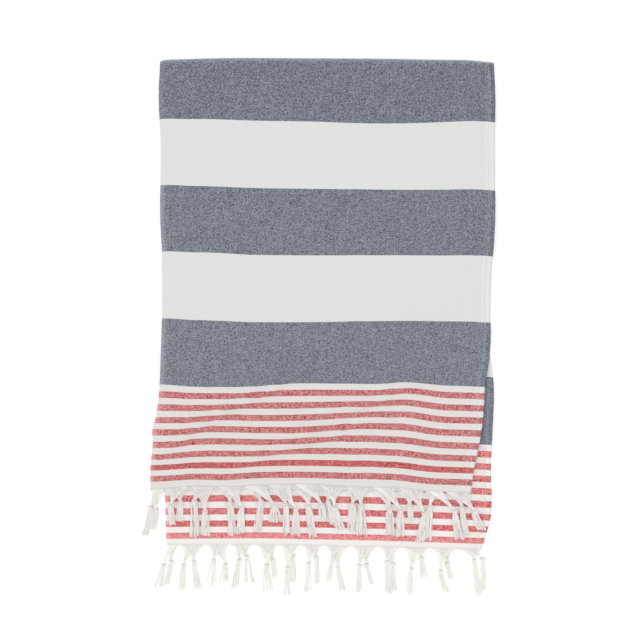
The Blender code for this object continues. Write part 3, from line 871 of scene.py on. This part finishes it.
TASSELS = 13                    # on each layer of each end
FAN_THREADS = 40
FAN_POINTS = 9
FAN_TAPER = 1.65                # how fast a fan narrows towards its knot
FAN_ROOTS = (0.012, 0.988)      # the shares of its bunch's cloth that it comes from
FAN_GAPS = 7                    # between the loose bunches that its threads gather in
FAN_STRAY = 0.45 * MM
FRONT_TAIL = (34, 1.8)          # how many threads in a tail, and how full it is
BACK_TAIL = (28, 1.25)
TAIL_BUNCHES = (-0.95, -0.35, 0.32, 0.92)   # where each bunch goes, across the tail
TAIL_POINTS = 12
TAIL_NARROW = 1.9 * MM          # half the tail's width below the knot
TAIL_SPARE = 0.5 * MM           # beyond the tips' flare, as a tail has loose threads
TAIL_LONGEST = 1.07             # of its length in the tables: a few threads hang longer
BUNCH_SHORTER, THREAD_SHORTER = 0.10, 0.07  # by up to this share
TAIL_WAVE, TAIL_WAVES = 0.35 * MM, (1.6, 2.8)   # how wide, and how many to a tail
TAIL_SWERVE = 1.6 * MM
TAIL_PILE = 1.1 * MM            # the threads of a tail lie on each other up to this
OVER_LOWER = 0.9 * MM           # the second layer's tails lie on the first's
KNOT_STRANDS = 7
KNOT_POINTS = 26
THREAD_RADIUS = 0.33 * MM
TAIL_RADIUS = 0.50 * MM
KNOT_RADIUS = 0.66 * MM
KNOT_HALF_LENGTH = 4.5 * MM
KNOT_LOOP = 2.8 * MM            # radius of the loop that the bunch makes round itself
KNOT_BUNDLE = 1.25 * MM
KNOT_FLATNESS = 0.7
KNOT_TURNS = (-0.62, 1.62)      # where the bunch starts and ends, round the loop
KNOT_ENTRY = 2.2                # radians in which it winds into the loop, and out
KNOT_SPAN = 0.62 * KNOT_HALF_LENGTH
KNOT_SLANT = 1.3 * MM
KNOT_SIZES = (1.0, 1.35)
KNOT_HALF_HEIGHT = KNOT_FLATNESS * (KNOT_LOOP + KNOT_BUNDLE) + KNOT_RADIUS
KNOT_CLEAR = 9.5 * MM           # a fan passes over a lower knot this near to it,
CLEAR_SLOPE = 4.0 * MM          # and comes down within this
BUNCH_RADIUS = 1.35 * MM        # of a fan's threads where they enter the knot
ROOT_INSIDE = 1.5 * MM          # threads are woven in at their roots
REST_GAP = 0.3 * MM
WARP_PALE, WARP_SHADE = "#FEFDFA", "#F8F7F2"
KNOT_PALE, KNOT_SHADE = "#FBFBF6", "#F4F5EE"
# The upper half's fringe lies over red stripes: its colours carry a painted pink reflection of
# them.
RED_LIT_PALE, RED_LIT_SHADE = "#FCFAF7", "#F5F2EE"
RED_LIT_KNOT_PALE, RED_LIT_KNOT_SHADE = "#F9F5F2", "#F0ECE8"

# Where the bunches part, in mm from the right hem.  The first bunch comes from
# round the long fold, so it has only half a bunch's width of each layer.
FRONT_PARTED = (481, 462, 423, 385, 346, 308, 269, 231, 190, 151, 113, 70, 42, 0)
BACK_PARTED = (473, 457, 415, 380, 344, 305, 273, 238, 197, 156, 121, 76, 38, 0)

# One row for each tassel, left to right, in mm: how far its knot lies sideways
# from its even place and below the woven end, how far its tails drift from there,
# how far their tips reach from the woven end, and half the tips' spread.
TASSEL_COLUMNS = ("knot", "drop", "drift", "reach", "flare")
FRONT_UNDER = (
    (-20, 26, -8, 69, 3.5),
    (-12, 19, -1, 46, 4.0),
    (-28, 17, 1, 69, 5.0),
    (-11, 20, 3, 67, 3.5),
    (-2, 18, -5, 61, 5.0),
    (-1, 22, 1, 66, 3.5),
    (-4, 24, 7, 70, 5.0),
    (-11, 17, 7, 51, 3.5),
    (-12, 21, 0, 60, 4.5),
    (7, 27, 2, 67, 4.0),
    (0, 21, 2, 46, 2.5),
    (-6, 23, -3, 72, 4.5),
    (5, 24, 6, 67, 4.0),
)
FRONT_OVER = (
    (-12, 32, -5, 62, 3.0),
    (-26, 29, 1, 59, 2.5),
    (-12, 39, 0, 74, 5.5),
    (6, 32, -1, 70, 4.5),
    (19, 31, 1, 56, 8.0),
    (14, 38, 0, 76, 5.0),
    (16, 32, 2, 55, 4.5),
    (-2, 32, 10, 65, 5.0),
    (1, 29, 1, 72, 7.0),
    (23, 35, 0, 74, 5.5),
    (22, 37, -6, 80, 5.0),
    (31, 30, 7, 71, 4.5),
    (24, 30, 11, 58, 5.5),
)
BACK_OVER = (
    (-25, 31, -8, 64, 4.5),
    (-31, 31, -2, 67, 3.5),
    (-22, 23, -4, 62, 6.0),
    (-20, 23, -7, 66, 4.5),
    (-15, 31, 4, 70, 8.0),
    (-20, 33, 0, 76, 3.0),
    (-24, 27, -2, 69, 5.5),
    (-24, 16, -6, 54, 4.0),
    (-20, 28, -1, 68, 4.0),
    (-15, 21, 4, 70, 4.0),
    (-15, 31, -2, 70, 4.5),
    (-7, 34, 10, 65, 3.5),
    (8, 16, 6, 69, 3.5),
)
BACK_UNDER = (
    (-13, 25, -8, 60, 3.0),
    (-15, 25, 6, 67, 5.0),
    (-4, 30, -2, 56, 6.0),
    (-8, 18, 4, 59, 7.0),
    (-5, 22, 3, 48, 3.0),
    (-11, 17, 1, 56, 3.0),
    (-12, 18, 0, 58, 2.5),
    (-16, 31, 8, 68, 3.5),
    (-9, 27, 8, 56, 3.0),
    (-6, 24, 3, 66, 2.5),
    (1, 15, 3, 46, 4.5),
    (4, 22, 7, 46, 3.5),
    (20, 14, 1, 62, 3.5),
)


def on_the_floor(x, y):
    """What lies under the lower half's tassels."""
    return np.zeros(np.broadcast(x, y).shape)


def on_the_back(x, y):
    """What lies under the upper half's tassels: the lower half, or the floor."""
    inside = smooth((x - back_edge("left", y)) / (2 * MM) + 1.0)
    return inside * (back_top(x, y) + CLOTH_THICK / 2 + REST_GAP)


def end_of_cloth(row, outer, at_share):
    """Middle of the cloth's woven end, on its outer or inner layer, at shares across."""
    layer = (turned == 0.0) if outer else (turned == math.pi)
    order = np.argsort(share[layer])
    found = cloth_points[row][layer][order]
    shares = share[layer][order]
    return np.stack([np.interp(at_share, shares, found[:, i]) for i in range(3)], axis=-1)


def over_knots(knots, x, y):
    """How high a fan passes over the knots that already lie below it."""
    level = np.zeros(x.shape)
    for knot in knots:
        away = np.hypot(x - knot[0], y - knot[1])
        near = 1.0 - smooth((away - KNOT_CLEAR) / CLEAR_SLOPE)
        level = np.maximum(level, near * (knot[2] + KNOT_HALF_HEIGHT + THREAD_RADIUS))
    return level


fan_places = (np.arange(FAN_THREADS) + 0.5) / FAN_THREADS    # of each thread, across


def fan(rng, start, knot, rest, knots):
    """Threads from the woven end into the top of the knot, in loose bunches."""
    spread = 1 - 2 * fan_places
    straggling = rng.normal(0, 0.12, FAN_THREADS)
    bunch = 1 - 2 * np.round(fan_places * FAN_GAPS + straggling) / FAN_GAPS
    s = np.linspace(0.0, 1.0, FAN_POINTS)[None, :]
    gathered = blend(spread[:, None], bunch[:, None], 0.5 * smooth(2 * s))
    middle = (start[0, 0] + start[-1, 0]) / 2
    half = abs(start[-1, 0] - start[0, 0]) / 2
    stray = FAN_STRAY * rng.standard_t(3, (FAN_THREADS, 1))
    narrowed = half * (1 - s) ** FAN_TAPER + BUNCH_RADIUS * s
    x = blend(middle, knot[0], s) + gathered * narrowed + stray * np.sin(math.pi * s)
    x[:, 0] = start[:, 0]
    y = blend(start[:, 1:2] + ROOT_INSIDE, knot[1] + 0.5 * KNOT_HALF_LENGTH, s)
    pile = BUNCH_RADIUS * np.sqrt(1 - spread[:, None] ** 2)
    z = blend(start[:, 2:3], knot[2] + pile * rng.uniform(-1, 1, pile.shape), smooth(s))
    lowest = np.maximum(rest(x, y) + THREAD_RADIUS, over_knots(knots, x, y))
    # The roots stay in the weave.
    return np.stack([x, y, np.where(s > 0.05, np.maximum(z, lowest), z)], axis=-1)


def overhand_knot(knot, lead, hand, size):
    """The bunch goes once round itself and out through its own loop."""
    sideways = np.array([-lead[1], lead[0], 0.0])
    upward = np.array([0.0, 0.0, 1.0])
    turn = np.linspace(*KNOT_TURNS, KNOT_POINTS) * 2 * math.pi
    within = smooth(np.minimum(turn - turn[0], turn[-1] - turn) / KNOT_ENTRY)
    along_lead = np.linspace(-1.0, 1.0, KNOT_POINTS) * KNOT_SPAN * size
    along_lead = along_lead + KNOT_SLANT * np.sin(turn + 0.6)
    out = sideways * np.cos(turn)[:, None] * hand
    out = out + KNOT_FLATNESS * upward * np.sin(turn)[:, None]
    centre = knot + lead * along_lead[:, None] + out * (KNOT_LOOP * within)[:, None]
    strands = []
    for strand in range(KNOT_STRANDS):
        angle = 2 * math.pi * strand / (KNOT_STRANDS - 1) + turn * 0.35
        off = 0.0 if strand == KNOT_STRANDS - 1 else KNOT_BUNDLE
        strands.append(
            centre
            + lead * (off * np.cos(angle))[:, None]
            + out * (off * np.sin(angle))[:, None]
        )
    return strands


def tails(rng, knot, tassel, rest, lifted, tail):
    """Loose ends below the knot: a few bunches, a little wavy from the weaving."""
    threads, fullness = tail
    size = (threads, 1)
    bunch = np.arange(threads)[:, None] % len(TAIL_BUNCHES)
    aims = np.array(TAIL_BUNCHES) + rng.normal(0.0, 0.13, len(TAIL_BUNCHES))
    aim = aims[bunch] * rng.uniform(0.9, 1.05)
    own = rng.uniform(-1.0, 1.0, size)
    shorter = rng.uniform(0.0, BUNCH_SHORTER, len(TAIL_BUNCHES))[bunch]
    shorter = shorter + rng.uniform(0.0, THREAD_SHORTER, size)
    s = np.linspace(0.0, 1.0, TAIL_POINTS)[None, :]
    phase = rng.uniform(0.0, 2 * math.pi, len(TAIL_BUNCHES))[bunch] + 0.7 * own
    wave = phase + rng.uniform(*TAIL_WAVES, len(TAIL_BUNCHES))[bunch] * 2 * math.pi * s
    tips = tassel["flare"] + TAIL_SPARE
    half = blend(TAIL_NARROW * fullness, tips, s ** 0.8) * smooth(4 * s + 0.25)
    x = knot[0] + tassel["drift"] * s ** 1.2 + half * aim
    x = x + own * fullness * blend(0.8 * MM, 1.2 * MM, s)
    x = x + TAIL_WAVE * np.sin(wave) * np.sqrt(s)
    x = x + rng.uniform(-TAIL_SWERVE, TAIL_SWERVE, size) * fullness * s * (s - 0.35)
    y = knot[1] - (tassel["reach"] - tassel["drop"]) * (TAIL_LONGEST - shorter) * s
    lying = rest(x, y) + TAIL_RADIUS + lifted + rng.uniform(0.0, TAIL_PILE, size)
    level = knot[2] + 0.9 * MM * np.sqrt(1 - own ** 2) * rng.uniform(-1.0, 1.0, size)
    z = blend(level, lying, smooth(2.2 * s)) + 0.25 * MM * np.cos(wave) * s
    return np.stack([x, y, np.maximum(z, rest(x, y) + 1.1 * TAIL_RADIUS)], axis=-1)


def grow_fringe(row, layers, parted, rest, tail, seed):
    """Fans, knots and tails of one end, from its layers of (outer?, tassel rows)."""
    rng = np.random.default_rng(seed)
    fans, knot_strands, loose, knots = [], [], [], []
    for outer, tassels in layers:
        lifted = OVER_LOWER if knots else 0.0
        below = list(knots)
        for number, values in enumerate(tassels):
            tassel = {name: value * MM for name, value in zip(TASSEL_COLUMNS, values)}
            # Tassels are listed from the long fold at the left to the hem at the right.
            root = end_of_cloth(row, outer, 1.0 - (number + 0.5) / TASSELS)
            knot = root + (tassel["knot"], -tassel["drop"], 0.0)
            knot[2] = rest(knot[0], knot[1]) + KNOT_HALF_HEIGHT
            lead = np.array([tassel["knot"] + tassel["drift"], -tassel["reach"], 0.0])
            lead /= np.linalg.norm(lead)
            from_hem = blend(parted[number + 1], parted[number], blend(*FAN_ROOTS, fan_places))
            start = end_of_cloth(row, outer, from_hem / parted[0])
            fans.append(fan(rng, start, knot, rest, below))
            # One knot in three is tied the other way round.
            hand = 1.0 if (number + outer) % 3 else -1.0
            knot_strands += overhand_knot(knot, lead, hand, rng.uniform(*KNOT_SIZES))
            loose.append(tails(rng, knot, tassel, rest, lifted, tail))
            knots.append(knot)
    fans, loose, knot_strands = np.concatenate(fans), np.concatenate(loose), np.array(knot_strands)
    fan_radii = np.full(fans.shape[:2], THREAD_RADIUS)
    tail_radii = TAIL_RADIUS * np.linspace(1.0, 0.75, TAIL_POINTS) * np.ones((len(loose), 1))
    knot_radii = np.full(knot_strands.shape[:2], KNOT_RADIUS)
    return [
        (fans, fan_radii, 3, 0), (knot_strands, knot_radii, 4, 1), (loose, tail_radii, 4, 1)
    ]


# Cotton with a painted pink reflection of the red stripes, for the upper half's fringe.
red_lit_cotton = [
    spun_cotton("loose cotton warp ends, painted red reflection", RED_LIT_PALE, RED_LIT_SHADE),
    spun_cotton("knots and tails of cotton, painted red reflection", RED_LIT_KNOT_PALE, RED_LIT_KNOT_SHADE),
]
warp_cotton = [
    spun_cotton("loose cotton warp ends", WARP_PALE, WARP_SHADE),
    spun_cotton("knots and tails of cotton", KNOT_PALE, KNOT_SHADE),
]
front_fringe = thread_object(
    "front_fringe_threads",
    grow_fringe(
        0, ((False, FRONT_UNDER), (True, FRONT_OVER)), FRONT_PARTED, on_the_back,
        FRONT_TAIL, seed=3,
    ),
    red_lit_cotton,
)
back_fringe = thread_object(
    "back_fringe_threads",
    grow_fringe(
        -1, ((True, BACK_UNDER), (False, BACK_OVER)), BACK_PARTED, on_the_floor,
        BACK_TAIL, seed=5,
    ),
    warp_cotton,
)
for piece, stood_for in ((front_fringe, "fringe_front"), (back_fringe, "fringe_back")):
    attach(piece, "root")
    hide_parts(stood_for)

# ---- Studio ---------------------------------------------------------------------
# A white sweep, lit evenly from all round and a little more from above, with the
# camera straight over the towel.

FLOOR_SIZE = 8.0
VIEW_WIDTH = 0.96               # what the picture shows across
CAMERA_HEIGHT = 2.5
SENSOR = 36.0
VIEW_CENTRE = (2.25 * MM, 10.9 * MM)
VIEW_LEVEL = 6.0 * MM           # where the picture is VIEW_WIDTH wide
FLOOR_DROP = 0.1 * MM           # so that it doesn't meet the lowest layer
PAPER, PAPER_GLOW = "#F8F8F8", 0.25
SKY_STRENGTH = 0.95
SOFTBOX_SIZE, SOFTBOX_POWER = (1.6, 1.2), 2.5
SOFTBOX_PLACE = (-0.9, 0.8, 1.9)

bpy.ops.mesh.primitive_plane_add(size=FLOOR_SIZE, location=(0.0, 0.0, -FLOOR_DROP))
floor = bpy.context.object
floor.name = "floor"
paper = bpy.data.materials.new("matt white paper sweep")
paper.use_nodes = True
paper_shader = paper.node_tree.nodes["Principled BSDF"]
paper_shader.inputs["Base Color"].default_value = linear(PAPER)
paper_shader.inputs["Roughness"].default_value = 0.95
paper_shader.inputs["Specular IOR Level"].default_value = 0.0
paper_shader.inputs["Emission Color"].default_value = (1.0, 1.0, 1.0, 1.0)
paper_shader.inputs["Emission Strength"].default_value = PAPER_GLOW
floor.data.materials.append(paper)
floor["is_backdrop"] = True

world = bpy.data.worlds.new("studio")
world.use_nodes = True
world.node_tree.nodes["Background"].inputs["Color"].default_value = (1.0, 1.0, 1.0, 1.0)
world.node_tree.nodes["Background"].inputs["Strength"].default_value = SKY_STRENGTH
bpy.context.scene.world = world

softbox = bpy.data.lights.new("softbox", "AREA")
softbox.shape = "RECTANGLE"
softbox.size, softbox.size_y = SOFTBOX_SIZE
softbox.energy = SOFTBOX_POWER
softbox_object = bpy.data.objects.new("softbox", softbox)
softbox_object.location = SOFTBOX_PLACE
aim_at = -softbox_object.location
softbox_object.rotation_euler = aim_at.to_track_quat("-Z", "Y").to_euler()
bpy.context.scene.collection.objects.link(softbox_object)

camera = bpy.data.cameras.new("camera")
camera.sensor_width = SENSOR
camera.lens = SENSOR * CAMERA_HEIGHT / VIEW_WIDTH
camera_object = bpy.data.objects.new("camera", camera)
camera_object.location = (*VIEW_CENTRE, CAMERA_HEIGHT + VIEW_LEVEL)
bpy.context.scene.collection.objects.link(camera_object)
bpy.context.scene.camera = camera_object
bpy.context.scene.view_settings.view_transform = "Standard"

boxes = {"cad": cad_box, "visual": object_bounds()}
boxes = {name: [list(corner) for corner in box] for name, box in boxes.items()}
